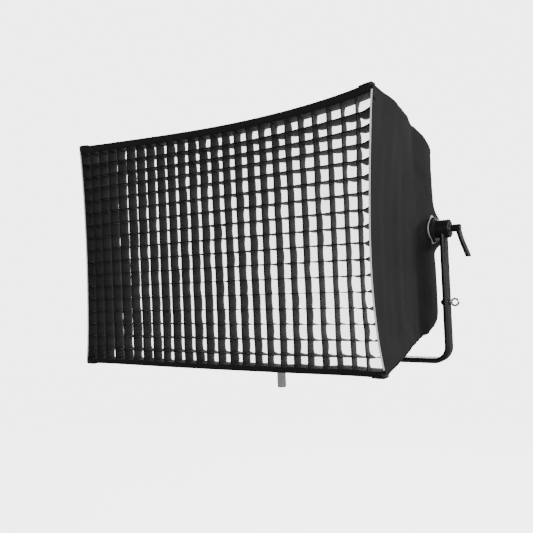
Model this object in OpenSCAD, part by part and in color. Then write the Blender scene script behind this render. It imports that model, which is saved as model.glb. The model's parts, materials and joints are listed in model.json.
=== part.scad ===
// Rectangular softbox with a fabric grid, on a panel light in a tilting yoke.
// Origin: centre of the spigot's shoulder, under the yoke. +X is the lever side, +Z is up.
// The light faces -Y.

/* [Softbox] */
// Width of the front opening
front_w = 1020; // [940:10:1040]
// Height of the front opening
front_h = 700; // [620:10:710]
// Depth from the front edge to the light's mount ring
box_depth = 330; // [260:10:340]
// Width over the fabric at the mount ring
rear_w = 980; // [976:1:984]
// Height over the fabric at the mount ring
rear_h = 612; // [608:1:616]
// How far the light's centre stands above the front opening's centre
lamp_rise = 12; // [6:1:12]
// Thickness of the sewn fabric
cloth_t = 1.2; // [0.8:0.1:1.6]
// Diameter of the four spreader rods
rod_d = 6; // [4:0.5:7]

/* [Grid] */
// Pitch of the grid's square cells
cell = 40; // [36:0.1:40]
// Cells across
columns = 25; // [19:2:25]
// Cells up
rows = 17; // [13:2:17]
// Depth of the grid's strips
grid_depth = 38; // [24:1:40]
// Thickness of a grid strip
strip_t = 0.9; // [0.6:0.1:1.5]

/* [Light head] */
// Width of the light's casing
head_w = 950; // [946:1:952]
// Height of the light's casing
head_h = 560; // [552:1:562]
// Depth of the light's casing behind its front bezel
casing_d = 105; // [95:1:110]
// Number of cooling fins
fin_count = 38; // [20:2:44]

/* [Yoke] */
// Distance between the arms' centre lines
yoke_span = 1114; // [1106:2:1130]
// Drop from the tilt axis to the crossbar's centre line
yoke_drop = 371; // [369:1:400]
// Thickness of the flat-oval tube
tube_t = 15; // [12:0.5:18]
// Width of the flat-oval tube, front to back
tube_d = 45; // [36:1:46]
// Radius of the two bends, to the tube's centre line
bend_r = 40; // [30:1:60]
// Diameter of the tilt hubs
hub_d = 52; // [46:1:60]
// Height of the safety eye below the tilt axis
eye_drop = 207; // [120:1:260]

/* [Spigot] */
// Diameter of the spigot
spigot_d = 28.6; // [28:0.1:29]
// Length of the spigot
spigot_l = 90; // [70:1:110]

/* [Lever] */
// Length of the clamping lever's arm
lever_l = 82; // [60:1:100]
// How far the lever's end stands out from its boss
lever_splay = 22; // [10:1:30]

/* [Hidden] */

$fn = 48;
gap = 0.3;

// Heights and depths that the rest hangs from
spigot_plate_t = 8;
plate_screw_x = 38;
bar_z = spigot_plate_t + tube_t / 2;
tilt_z = bar_z + yoke_drop;
lamp_z = tilt_z - 2;
head_z = lamp_z - lamp_rise;
arm_x = yoke_span / 2;
ring_y = -33;
front_y = ring_y - box_depth;
grid_back_y = front_y + grid_depth;
ring_depth = 10;

// Hubs, pivots and lever, as distances from the centre plane
hub_len = 37;
hub_out_x = arm_x + tube_t / 2 + 12.5;
hub_in_x = hub_out_x - hub_len;
disc_t = 2;
shaft_r = 10;
shaft_fit = 0.05;
boss_d = 40;
flange_d = 72;
flange_w = 44;
flange_t = 6;
base_screw_at = [14, 25];
base_screw_r = 3;
base_hole_r = 3.15;
flange_screw_at = [7, 28];
flange_screw_r = 2;
flange_out_x = hub_in_x - disc_t - gap;
stud_r = 5;
stud_flange_x = hub_out_x + gap;
stud_flange_t = 2.2;
lever_x = stud_flange_x + stud_flange_t + gap;
lever_boss_l = 26;
lever_boss_r = 11;
spline_r = 7;
spline_l = 12;
lever_floor_t = 2.5;
lever_recess_r = 6.5;

// Casing of the light
casing_t = 3;
bezel_t = 12;
bezel_lip = 30;
casing_y = ring_y + bezel_t;
cover_y = casing_y + casing_d - 4;
cover_t = 4;
back_y = cover_y + cover_t;
board_y = -2;
sink_y = 0;
sink_t = 6;
fin_h = 34;

// Controls on the back
panel_w = 270;
panel_h = 120;
panel_t = 3;
panel_y = back_y + panel_t;
button_travel = 1.2;
button_r = 6;

// Softbox
corner_gap = 12;
rod_inset = 5.5;
ring_fit = 1;
rod_rear_inset = [14, 14];
cap_d = 10.5;

// Rear skirt: half sizes at its front edge, its fullest place and its back
skirt_t = 1.5;
skirt_front_y = ring_y + ring_depth + 1;
skirt_full_y = 32;
skirt_back_y = back_y + 8;
skirt_full_x = 512;
skirt_full_z = 300;
skirt_back_x = 500;
skirt_back_z = 284;
skirt_corner_r = 30;
skirt_open_x = 446;
skirt_open_z = 230;
elastic_r = 4;

function half_w(y) = front_w / 2 + (rear_w - front_w) / 2 * (y - front_y) / box_depth;
function half_h(y) = front_h / 2 + (rear_h - front_h) / 2 * (y - front_y) / box_depth;
function mid_z(y) = lamp_rise * (y - front_y) / box_depth;

// Rod ends, for the corner with the signs sx and sz
function rod_tip(sx, sz) = [sx * (front_w / 2 - rod_inset), front_y - 1, sz * (front_h / 2 - rod_inset)];
function rod_foot(sx, sz) =
  [sx * (rear_w / 2 - rod_rear_inset[0]), ring_y - 2, lamp_rise + sz * (rear_h / 2 - rod_rear_inset[1])];
function length_of(v) = sqrt(v * v);

module at_tilt_axis() { translate([0, 0, tilt_z]) children(); }

module at_head() { translate([0, 0, head_z]) children(); }

module at_lamp() { translate([0, 0, lamp_z]) children(); }

module along_x(x) { translate([x, 0, 0]) rotate([0, 90, 0]) children(); }

module along_y(x, y, z) { translate([x, y, z]) rotate([-90, 0, 0]) children(); }

module mirrored_x() {
  children();
  mirror([1, 0, 0]) children();
}

// A box centred on the Y axis, from y0 to y1
module slab(w, h, y0, y1) { translate([-w / 2, y0, -h / 2]) cube([w, y1 - y0, h]); }

module frame_slab(w, h, inner_w, inner_h, y0, y1) {
  difference() {
    slab(w, h, y0, y1);
    slab(inner_w, inner_h, y0 - 1, y1 + 1);
  }
}

// A cylinder whose axis runs from point a towards point b, starting at distance s and ending at distance e
module rod_between(a, b, d, s, e) {
  v = b - a;
  l = length_of(v);
  translate(a) rotate([0, acos(v[2] / l), atan2(v[1], v[0])]) translate([0, 0, s]) cylinder(d = d, h = e - s);
}

// ---- Yoke ----

module flat_oval(t, d) {
  square([t, d - t], center = true);
  for (s = [-1, 1]) translate([0, s * (d - t) / 2]) circle(d = t);
}

module tube_section() {
  wall = 2;
  difference() {
    flat_oval(tube_t, tube_d);
    flat_oval(tube_t - 2 * wall, tube_d - 2 * wall);
  }
}

module yoke_tube() {
  bolt_hole_r = 6.2;
  screw_hole_r = 4.2;
  color([0.07, 0.07, 0.075]) difference() {
    union() {
      mirrored_x() {
        translate([arm_x, 0, bar_z + bend_r]) linear_extrude(tilt_z - bar_z - bend_r) tube_section();
        translate([arm_x - bend_r, 0, bar_z + bend_r]) rotate([90, 0, 0]) rotate([0, 0, -90])
          rotate_extrude(angle = 90) translate([bend_r, 0]) tube_section();
      }
      translate([0, 0, bar_z]) rotate([0, 90, 0])
        linear_extrude(yoke_span - 2 * bend_r, center = true) tube_section();
    }
    mirrored_x() at_tilt_axis() along_x(hub_in_x - 1) cylinder(d = hub_d, h = hub_len + 2);
    translate([0, 0, spigot_plate_t - 1]) cylinder(r = bolt_hole_r, h = tube_t + 2);
    for (s = [-1, 1]) translate([s * plate_screw_x, 0, spigot_plate_t - 1])
      cylinder(r = screw_hole_r, h = tube_t + 2);
    translate([0, 0, tilt_z - eye_drop]) along_x(arm_x - tube_t) cylinder(r = screw_hole_r, h = 2 * tube_t);
  }
}

module hub_shape() {
  rim = 2;
  difference() {
    along_x(hub_in_x) union() {
      cylinder(d1 = hub_d - 2 * rim, d2 = hub_d, h = rim);
      translate([0, 0, rim]) cylinder(d = hub_d, h = hub_len - 2 * rim);
      translate([0, 0, hub_len - rim]) cylinder(d1 = hub_d, d2 = hub_d - 2 * rim, h = rim);
    }
    along_x(hub_in_x - 1) cylinder(r = shaft_r + shaft_fit, h = hub_len + 2);
  }
}

module hub_right() { color([0.08, 0.08, 0.085]) at_tilt_axis() hub_shape(); }

module hub_left() { color([0.08, 0.08, 0.085]) at_tilt_axis() mirror([1, 0, 0]) hub_shape(); }

module friction_disc() {
  along_x(hub_in_x - disc_t) difference() {
    cylinder(d = hub_d - 6, h = disc_t);
    translate([0, 0, -1]) cylinder(r = shaft_r + gap, h = disc_t + 2);
  }
}

module friction_disc_right() { color([0.25, 0.2, 0.15]) at_tilt_axis() friction_disc(); }

module friction_disc_left() { color([0.25, 0.2, 0.15]) at_tilt_axis() mirror([1, 0, 0]) friction_disc(); }

module hub_cap_left() {
  cap_t = 6;
  plug_r = 9.4;
  color([0.06, 0.06, 0.06]) at_tilt_axis() mirror([1, 0, 0]) {
    along_x(hub_out_x) cylinder(d1 = hub_d - 8, d2 = hub_d - 16, h = cap_t);
    along_x(hub_out_x - 3) cylinder(r = plug_r, h = 4);
  }
}

module spigot() {
  plate_l = 110;
  chamfer = 2;
  bolt_hole_r = 6.15;
  screw_hole_r = 4.15;
  color([0.75, 0.76, 0.78]) difference() {
    union() {
      translate([-plate_l / 2, -tube_d / 2, 0]) cube([plate_l, tube_d, spigot_plate_t]);
      translate([0, 0, -spigot_l + chamfer]) cylinder(d = spigot_d, h = spigot_l - chamfer + 1);
      translate([0, 0, -spigot_l]) cylinder(d1 = spigot_d - 2 * chamfer, d2 = spigot_d, h = chamfer);
    }
    translate([0, 0, -30]) cylinder(r = bolt_hole_r, h = 60);
    for (s = [-1, 1]) translate([s * plate_screw_x, 0, -1])
      cylinder(r = screw_hole_r, h = spigot_plate_t + 2);
  }
}

module cap_screw(shank_r, shank_l, head_r, head_h, socket_r) {
  translate([0, 0, -shank_l]) cylinder(r = shank_r, h = shank_l + 0.01);
  difference() {
    cylinder(r = head_r, h = head_h);
    translate([0, 0, head_h * 0.4]) cylinder(r = socket_r, h = head_h, $fn = 6);
  }
}

module spigot_bolt() {
  color([0.6, 0.6, 0.62]) translate([0, 0, bar_z + tube_t / 2]) cap_screw(6, 50, 10, 5, 4.6);
}

module spigot_plate_screws() {
  color([0.6, 0.6, 0.62]) for (s = [-1, 1])
    translate([s * plate_screw_x, 0, bar_z + tube_t / 2]) cap_screw(4, tube_t + spigot_plate_t, 6.5, 4, 3);
}

eye_wire_r = 3;
eye_ring_r = 9.5;
eye_x = arm_x + 23;

module eye_bolt() {
  shank_r = 4;
  collar_r = 6.5;
  color([0.85, 0.86, 0.88]) translate([0, 0, tilt_z - eye_drop]) {
    translate([eye_x, 0, 0]) rotate([90, 0, 0])
      rotate_extrude() translate([eye_ring_r, 0]) circle(r = eye_wire_r);
    along_x(arm_x - tube_t / 2 - 9) cylinder(r = shank_r, h = tube_t + 9 + 8);
    along_x(arm_x + tube_t / 2 + 1.2) cylinder(r = collar_r, h = 4);
  }
}

module eye_bolt_nuts() {
  nut_r = 7.5;
  hole_r = 4.1;
  color([0.1, 0.1, 0.1]) translate([0, 0, tilt_z - eye_drop]) {
    along_x(arm_x - tube_t / 2 - 7) difference() {
      cylinder(r = nut_r, h = 6.5, $fn = 6);
      translate([0, 0, -1]) cylinder(r = hole_r, h = 9);
    }
    along_x(arm_x + tube_t / 2) difference() {
      cylinder(r = nut_r + 1, h = 1.2);
      translate([0, 0, -1]) cylinder(r = hole_r, h = 4);
    }
  }
}

// ---- Clamping lever ----

module clamp_stud() {
  in_shaft = 38;
  color([0.6, 0.6, 0.62]) at_tilt_axis() difference() {
    union() {
      along_x(hub_out_x - in_shaft) cylinder(r = stud_r, h = in_shaft + 1);
      along_x(stud_flange_x) cylinder(r = 12.5, h = stud_flange_t);
      along_x(stud_flange_x + 1) cylinder(r = spline_r, h = stud_flange_t - 1 + gap + spline_l);
    }
    along_x(lever_x) cylinder(r = 3.02, h = spline_l + 5);
  }
}

module lever_screw() {
  head_h = 3.5;
  color([0.85, 0.86, 0.88]) at_tilt_axis() along_x(lever_x + lever_boss_l - head_h - 0.5)
    cap_screw(3, lever_boss_l - head_h - 4, 5.2, head_h, 2.6);
}

module lever_spring() {
  wire_r = 0.5;
  coil_r = 4.4;
  pitch = 1.05;
  under_head = 5.65;
  color([0.7, 0.7, 0.7]) at_tilt_axis() for (i = [0:1])
    along_x(lever_x + lever_boss_l - under_head + i * pitch)
      rotate_extrude() translate([coil_r, 0]) circle(r = wire_r, $fn = 16);
}

module tilt_lever() {
  arm_r = 7.2;
  end_r = 7.2;
  root = [lever_x + lever_boss_l - 8, 0, 0];
  tip = [lever_x + lever_boss_l + lever_splay - 5, 0, -lever_l];
  neck = root + (tip - root) * 0.45 - [1.5, 0, 0];
  color([0.05, 0.05, 0.055]) at_tilt_axis() difference() {
    union() {
      along_x(lever_x) cylinder(r1 = lever_boss_r - 1, r2 = lever_boss_r, h = lever_boss_l - 2);
      along_x(lever_x + lever_boss_l - 2) cylinder(r1 = lever_boss_r, r2 = lever_boss_r - 1.5, h = 2);
      hull() {
        translate(root) sphere(r = 8, $fn = 32);
        translate(neck) sphere(r = arm_r, $fn = 32);
      }
      hull() {
        translate(neck) sphere(r = arm_r, $fn = 32);
        translate(tip) cylinder(r = end_r, h = 5, $fn = 32);
      }
    }
    along_x(lever_x - 1) cylinder(r = spline_r + shaft_fit, h = spline_l + 1.5);
    along_x(lever_x) cylinder(r = 3.4, h = lever_boss_l);
    along_x(lever_x + spline_l + 0.5 + lever_floor_t) cylinder(r = lever_recess_r, h = lever_boss_l);
  }
}

// ---- Light head ----

// The four places at y and z either side of the tilt axis
module at_four(place) {
  for (sy = [-1, 1]) for (sz = [-1, 1]) translate([0, sy * place[0], sz * place[1]]) children();
}

// A flatted base on the casing, a boss through the skirt's slit, a round flange and the shaft
module pivot_shaft(bored) {
  shaft_end_x = hub_out_x - 4;
  difference() {
    union() {
      intersection() {
        along_x(head_w / 2) cylinder(d = flange_d, h = flange_t);
        translate([head_w / 2, -flange_w / 2, -flange_d / 2]) cube([flange_t, flange_w, flange_d]);
      }
      along_x(head_w / 2) cylinder(d = boss_d, h = flange_out_x - head_w / 2);
      along_x(flange_out_x - flange_t) cylinder(d = flange_d, h = flange_t);
      along_x(head_w / 2) cylinder(r = shaft_r, h = shaft_end_x - head_w / 2);
    }
    if (bored) along_x(head_w / 2 + 30) cylinder(r = stud_r + gap, h = 100);
    at_four(base_screw_at) along_x(head_w / 2 - 1) cylinder(r = base_hole_r, h = flange_t + 2);
    at_four(flange_screw_at) along_x(flange_out_x - flange_t - 1)
      cylinder(r = flange_screw_r, h = flange_t + 2);
  }
}

module pivot_shaft_right() { color([0.08, 0.08, 0.085]) at_tilt_axis() pivot_shaft(true); }

module pivot_shaft_left() { color([0.08, 0.08, 0.085]) at_tilt_axis() mirror([1, 0, 0]) pivot_shaft(false); }

module pivot_screws() {
  color([0.7, 0.71, 0.73]) at_tilt_axis() mirrored_x() {
    at_four(base_screw_at) along_x(head_w / 2 + flange_t) cap_screw(base_screw_r, 9, 5, 3, 2.3);
    at_four(flange_screw_at) along_x(flange_out_x) cap_screw(flange_screw_r - 0.05, 5, 3.5, 1.6, 1.5);
  }
}

module casing() {
  color([0.09, 0.09, 0.1]) difference() {
    at_lamp() frame_slab(head_w, head_h, head_w - 2 * casing_t, head_h - 2 * casing_t, casing_y, cover_y);
    at_tilt_axis() mirrored_x() at_four(base_screw_at)
      along_x(head_w / 2 - 10) cylinder(r = base_hole_r, h = 20);
  }
}

module front_bezel() {
  color([0.09, 0.09, 0.1]) at_lamp()
    frame_slab(head_w, head_h, head_w - 2 * bezel_lip, head_h - 2 * bezel_lip, ring_y, casing_y);
}

module lamp_window() {
  color([0.96, 0.96, 0.94]) at_lamp()
    slab(head_w - 2 * casing_t - 1, head_h - 2 * casing_t - 1, casing_y, casing_y + 3);
}

module led_board() {
  w = head_w - 2 * casing_t - 1;
  h = head_h - 2 * casing_t - 1;
  led = 5;
  led_h = 0.8;
  led_pitch = 48;
  color([0.9, 0.9, 0.86]) at_lamp() {
    slab(w, h, board_y, sink_y);
    for (i = [-9:9]) for (j = [-5:5])
      slab_at(i * led_pitch, j * led_pitch, led, led, board_y - led_h, board_y + 0.01);
  }
}

module heat_sink() {
  w = head_w - 2 * casing_t - 1;
  h = head_h - 2 * casing_t - 1;
  margin = 10;
  fin_t = 2;
  pitch = (w - 2 * margin) / (fin_count - 1);
  color([0.7, 0.71, 0.73]) at_lamp() {
    slab(w, h, sink_y, sink_y + sink_t);
    for (i = [0:fin_count - 1])
      translate([-w / 2 + margin - fin_t / 2 + i * pitch, sink_y + sink_t - 0.01, -h / 2 + margin])
        cube([fin_t, fin_h, h - 2 * margin]);
  }
}

module driver_box() {
  w = 420;
  h = 220;
  color([0.6, 0.6, 0.62]) at_lamp() slab(w, h, sink_y + sink_t + fin_h, cover_y - 2);
}

module at_cover_screws() {
  inset = 10;
  for (sx = [-1, 1]) for (sz = [-1, 0, 1])
    translate([sx * (head_w / 2 - inset), 0, sz * (head_h / 2 - inset)]) children();
}

module rear_cover() {
  slot_w = 150;
  slot_h = 6;
  slot_pitch = 26;
  slot_x = 260;
  color([0.1, 0.1, 0.11]) difference() {
    at_lamp() slab(head_w, head_h, cover_y, back_y);
    at_lamp() for (s = [-1, 1]) for (k = [-8:8])
      slab_at(s * slot_x, k * slot_pitch, slot_w, slot_h, cover_y - 1, back_y + 1);
    at_lamp() at_cover_screws() along_y(0, cover_y - 1, 0) cylinder(r = 2.6, h = cover_t + 2);
    at_lamp() slab_at(switch_at[0], switch_at[1], switch_hole[0], switch_hole[1], cover_y - 1, back_y + 1);
  }
}

module rear_cover_screws() {
  color([0.3, 0.3, 0.3]) at_lamp() at_cover_screws() along_y(0, back_y, 0) cap_screw(2.5, 3.5, 4.4, 2.6, 2);
}

knob_z = 20;
knob_x = [62, 105];
button_x = [-110, -80, -50];
button_z = -34;
display_at = [-60, 20];
display_size = [92, 52];
switch_at = [110, -34];
switch_hole = [16, 24];
inlet_at = [60, -36];
inlet_hole = [31, 25];
sockets_x = [-14, 16];
sockets_z = -36;
socket_r = 12;
knob_shaft_r = 3.05;
rocker_pin_r = 1;

// The rocker's axle lies in the panel's plane, along X
switch_axis_y = panel_y - 1.4;

module control_panel() {
  color([0.14, 0.14, 0.15]) at_lamp() difference() {
    slab(panel_w, panel_h, back_y, panel_y);
    slab_at(display_at[0], display_at[1], display_size[0], display_size[1], back_y + 1, panel_y + 1);
    for (x = knob_x) along_y(x, back_y - 1, knob_z) cylinder(r = knob_shaft_r + shaft_fit, h = panel_t + 2);
    for (x = button_x) along_y(x, back_y - 1, button_z) cylinder(r = button_r + gap, h = panel_t + 2);
    slab_at(switch_at[0], switch_at[1], switch_hole[0], switch_hole[1], back_y - 1, panel_y + 1);
    translate([switch_at[0], switch_axis_y, switch_at[1]])
      along_x(-switch_hole[0] / 2 - 2) cylinder(r = rocker_pin_r + shaft_fit, h = switch_hole[0] + 4);
    slab_at(inlet_at[0], inlet_at[1], inlet_hole[0], inlet_hole[1], back_y - 1, panel_y + 1);
    for (x = sockets_x) along_y(x, back_y - 1, sockets_z) cylinder(r = socket_r + 0.2, h = panel_t + 2);
  }
}

module slab_at(x, z, w, h, y0, y1) { translate([x, 0, z]) slab(w, h, y0, y1); }

module display_window() {
  w = display_size[0] - 0.4;
  h = display_size[1] - 0.4;
  color([0.05, 0.07, 0.1]) at_lamp()
    slab_at(display_at[0], display_at[1], w, h, back_y + 1.01, panel_y + 0.4);
}

module control_knob(x) {
  knob_r = 12;
  knob_h = 15;
  at_lamp() {
    along_y(x, back_y + 0.2, knob_z) cylinder(r = knob_shaft_r, h = panel_t + 2);
    along_y(x, panel_y + 0.6, knob_z) difference() {
      union() {
        cylinder(r = knob_r, h = knob_h - 1.5);
        translate([0, 0, knob_h - 1.5]) cylinder(r1 = knob_r, r2 = knob_r - 1.5, h = 1.5);
      }
      for (a = [0:20:340]) rotate([0, 0, a]) translate([knob_r + 0.5, 0, 3]) cylinder(r = 1.3, h = knob_h);
    }
  }
}

module brightness_knob() { color([0.05, 0.05, 0.05]) control_knob(knob_x[0]); }

module colour_knob() { color([0.05, 0.05, 0.05]) control_knob(knob_x[1]); }

module push_button(x) {
  stem = panel_t - 0.2;
  at_lamp() along_y(x, back_y + button_travel + 0.2, button_z) {
    cylinder(r = button_r, h = stem);
    translate([0, 0, stem]) cylinder(r1 = button_r, r2 = button_r - 0.8, h = 0.8);
  }
}

module menu_button() { color([0.2, 0.2, 0.2]) push_button(button_x[0]); }

module mode_button() { color([0.2, 0.2, 0.2]) push_button(button_x[1]); }

module back_button() { color([0.2, 0.2, 0.2]) push_button(button_x[2]); }

module power_switch() {
  rocker_r = 13.5;
  rocker_w = switch_hole[0] - 1.2;
  rocker_h = switch_hole[1] - 3;
  floor_y = -0.8;
  color([0.6, 0.08, 0.06]) at_lamp() translate([switch_at[0], switch_axis_y, switch_at[1]]) {
    intersection() {
      translate([0, 4 - rocker_r, 0]) along_x(-rocker_w / 2) cylinder(r = rocker_r, h = rocker_w);
      translate([-rocker_w / 2, floor_y, -rocker_h / 2]) cube([rocker_w, 6, rocker_h]);
    }
    along_x(-switch_hole[0] / 2 - 1.5) cylinder(r = rocker_pin_r, h = switch_hole[0] + 3);
  }
}

module power_inlet() {
  color([0.06, 0.06, 0.06]) at_lamp() difference() {
    slab_at(inlet_at[0], inlet_at[1], inlet_hole[0] - 0.6, inlet_hole[1] - 0.6, back_y + 0.01, panel_y + 2);
    slab_at(inlet_at[0], inlet_at[1], 24, 17, back_y + 1, panel_y + 3);
  }
}

module data_sockets() {
  pin_circle_r = 5;
  color([0.35, 0.35, 0.36]) at_lamp() for (x = sockets_x) along_y(x, back_y + 0.01, sockets_z) {
    difference() {
      cylinder(r = socket_r, h = panel_t + 2);
      translate([0, 0, 1]) cylinder(r = socket_r - 3.5, h = panel_t + 4);
    }
    for (a = [0:72:288]) rotate([0, 0, a]) translate([pin_circle_r, 0, 0.5])
      cylinder(r = 0.9, h = 3, $fn = 16);
  }
}

handle_x = 400;

module handle(x) {
  grip = 150;
  reach = 40;
  tube_r = 9;
  bend = 20;
  foot_r = 16;
  at_lamp() for (s = [-1, 1]) {
    along_y(x, back_y, s * grip / 2) cylinder(r = foot_r, h = 4);
    along_y(x, back_y, s * grip / 2) cylinder(r = tube_r, h = reach - bend);
    translate([x, back_y + reach - bend, s * (grip / 2 - bend)]) rotate([0, 90, 0])
      rotate([0, 0, s > 0 ? 90 : 0]) rotate_extrude(angle = 90) translate([bend, 0]) circle(r = tube_r);
    translate([x, back_y + reach, min(0, s * (grip / 2 - bend))]) cylinder(r = tube_r, h = grip / 2 - bend);
  }
}

module handle_right() { color([0.05, 0.05, 0.05]) handle(handle_x); }

module handle_left() { color([0.05, 0.05, 0.05]) handle(-handle_x); }

// ---- Softbox ----

module at_corners() {
  for (sx = [-1, 1]) for (sz = [-1, 1]) {
    $sx = sx;
    $sz = sz;
    children();
  }
}

module mount_ring() {
  outer_w = 2 * (half_w(ring_y + ring_depth) - cloth_t - 2 * gap);
  outer_h = 2 * (half_h(ring_y + ring_depth) - cloth_t - 2 * gap);
  lip = 8;
  color([0.12, 0.12, 0.13]) at_lamp() {
    frame_slab(outer_w, outer_h, head_w + ring_fit, head_h + ring_fit, ring_y - 0.01, ring_y + ring_depth);
    frame_slab(outer_w, outer_h, head_w - 2 * lip, head_h - 2 * lip, ring_y - 5, ring_y);
  }
}

module rod_sockets() {
  color([0.16, 0.16, 0.17]) at_head() at_corners() {
    foot = rod_foot($sx, $sz);
    tip = rod_tip($sx, $sz);
    difference() {
      rod_between(foot, tip, 16, 2, 36);
      rod_between(foot, tip, rod_d + 0.2, 5, 40);
      slab(head_w * 2, head_h * 3, ring_y - 5, ring_y + 20);
    }
  }
}

module spreader_rods() {
  color([0.1, 0.1, 0.1]) at_head() at_corners() {
    foot = rod_foot($sx, $sz);
    tip = rod_tip($sx, $sz);
    rod_between(foot, tip, rod_d, 7, length_of(tip - foot));
  }
}

module corner_caps() {
  color([0.05, 0.05, 0.05]) at_head() at_corners() {
    foot = rod_foot($sx, $sz);
    tip = rod_tip($sx, $sz);
    reach = length_of(tip - foot);
    difference() {
      rod_between(foot, tip, cap_d, reach - 16, reach + 3);
      rod_between(foot, tip, rod_d + 0.1, reach - 17, reach + 0.1);
    }
  }
}

// A side panel of cloth. It runs from the front edge to the back of the mount ring.
module side_panel() {
  hull() for (y = [front_y, ring_y + ring_depth - 0.1])
    translate([half_w(y) - cloth_t, y, mid_z(y) - half_h(y) + corner_gap])
      cube([cloth_t, 0.1, 2 * (half_h(y) - corner_gap)]);
}

// The side is 1 for the top and 0 for the bottom
module level_panel(side) {
  hull() for (y = [front_y, ring_y + ring_depth - 0.1])
    translate([-half_w(y) + corner_gap, y, mid_z(y) + (2 * side - 1) * half_h(y) - side * cloth_t])
      cube([2 * (half_w(y) - corner_gap), 0.1, cloth_t]);
}

module panel_right() { color([0.05, 0.05, 0.05]) at_head() side_panel(); }

module panel_left() { color([0.05, 0.05, 0.05]) at_head() mirror([1, 0, 0]) side_panel(); }

module panel_top() { color([0.05, 0.05, 0.05]) at_head() level_panel(1); }

module panel_bottom() { color([0.05, 0.05, 0.05]) at_head() level_panel(0); }

diffuser_back_y = grid_back_y + 2;
hem_back_y = grid_back_y + 4;

// Half sizes that fit inside the cloth at the back of the grid
inner_x = half_w(hem_back_y) - cloth_t - gap;
inner_z = half_h(hem_back_y) - mid_z(hem_back_y) - cloth_t - gap;

module notched_corners(notch) {
  difference() {
    children();
    at_corners() translate([$sx * inner_x - notch, front_y - 5, $sz * inner_z - notch])
      cube([2 * notch, box_depth, 2 * notch]);
  }
}

module front_hem() {
  band = 18;
  color([0.07, 0.07, 0.07]) at_head() notched_corners(corner_gap)
    frame_slab(2 * inner_x, 2 * inner_z, 2 * inner_x - 2 * band, 2 * inner_z - 2 * band,
      diffuser_back_y, hem_back_y);
}

module front_diffuser() {
  color([0.97, 0.97, 0.95]) at_head() notched_corners(corner_gap)
    slab(2 * inner_x, 2 * inner_z, diffuser_back_y - 0.8, diffuser_back_y);
}

// White piping along the two upright edges of the front
module edge_piping() {
  r = 1.2;
  clear = 2 * cap_d;
  color([0.95, 0.95, 0.95]) at_head() mirrored_x()
    translate([front_w / 2 - r, front_y - r - 0.2, -front_h / 2 + clear])
      cylinder(r = r, h = front_h - 2 * clear);
}

// ---- Skirt ----

module skirt_plate(hx, hz, y) {
  r = skirt_corner_r;
  for (sx = [-1, 1]) for (sz = [-1, 1]) translate([sx * (hx - r), y, sz * (hz - r)]) rotate([-90, 0, 0])
    cylinder(r = r, h = 0.1, $fn = 32);
}

module skirt_block(inset) {
  hull() {
    skirt_plate(rear_w / 2 - inset, rear_h / 2 - inset, skirt_front_y - (inset > 0 ? 1 : 0));
    skirt_plate(skirt_full_x - inset, skirt_full_z - inset, skirt_full_y);
    skirt_plate(skirt_back_x - inset, skirt_back_z - inset, skirt_back_y - inset);
  }
}

module rear_skirt() {
  slit_d = boss_d + 12;
  cut_l = 2 * skirt_full_x + 20;
  color([0.05, 0.05, 0.05]) difference() {
    at_lamp() difference() {
      skirt_block(0);
      skirt_block(skirt_t);
      slab(2 * skirt_open_x, 2 * skirt_open_z, skirt_full_y, skirt_back_y + 10);
    }
    at_tilt_axis() along_x(-cut_l / 2) cylinder(d = slit_d, h = cut_l);
  }
}

module skirt_elastic() {
  x = skirt_open_x - elastic_r - 0.3;
  z = skirt_open_z - elastic_r - 0.3;
  r = 30;
  y = skirt_back_y - skirt_t / 2;
  color([0.08, 0.08, 0.08]) at_lamp() translate([0, y, 0]) {
    for (s = [-1, 1]) translate([s * x, 0, -z + r]) cylinder(r = elastic_r, h = 2 * (z - r));
    for (s = [-1, 1]) translate([0, 0, s * z]) along_x(-x + r) cylinder(r = elastic_r, h = 2 * (x - r));
    at_corners() translate([$sx * (x - r), 0, $sz * (z - r)]) rotate([90, 0, 0])
      rotate([0, 0, $sx > 0 ? ($sz > 0 ? 0 : -90) : ($sz > 0 ? 90 : 180)])
        rotate_extrude(angle = 90) translate([r, 0]) circle(r = elastic_r);
  }
}

// ---- Grid ----

module grid_rim() {
  w = columns * cell;
  h = rows * cell;
  color([0.06, 0.06, 0.06]) at_head() notched_corners(corner_gap)
    frame_slab(2 * inner_x, 2 * inner_z, w, h, front_y + 0.4, grid_back_y + 1);
}

// A strip with a slot for every strip that crosses it, drawn flat: length along X, depth along Y
module slotted_strip(l, crossings, low) {
  slot = strip_t + 0.4;
  difference() {
    translate([-l / 2, 0]) square([l, grid_depth - 1]);
    for (k = [1:crossings - 1])
      translate([(k - crossings / 2) * cell - slot / 2, low ? -1 : grid_depth / 2 - 0.7])
        square([slot, grid_depth / 2 + 0.2]);
  }
}

module grid_uprights() {
  color([0.05, 0.05, 0.05]) at_head() for (k = [1:columns - 1])
    translate([(k - columns / 2) * cell - strip_t / 2, front_y + 1, 0]) rotate([90, 0, 90])
      linear_extrude(strip_t) rotate([0, 0, 90]) mirror([0, 1])
        slotted_strip(rows * cell - 2 * gap, rows, true);
}

module grid_levels() {
  color([0.05, 0.05, 0.05]) at_head() for (k = [1:rows - 1])
    translate([0, front_y + 1, (k - rows / 2) * cell - strip_t / 2])
      linear_extrude(strip_t) slotted_strip(columns * cell - 2 * gap, columns, false);
}

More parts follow.
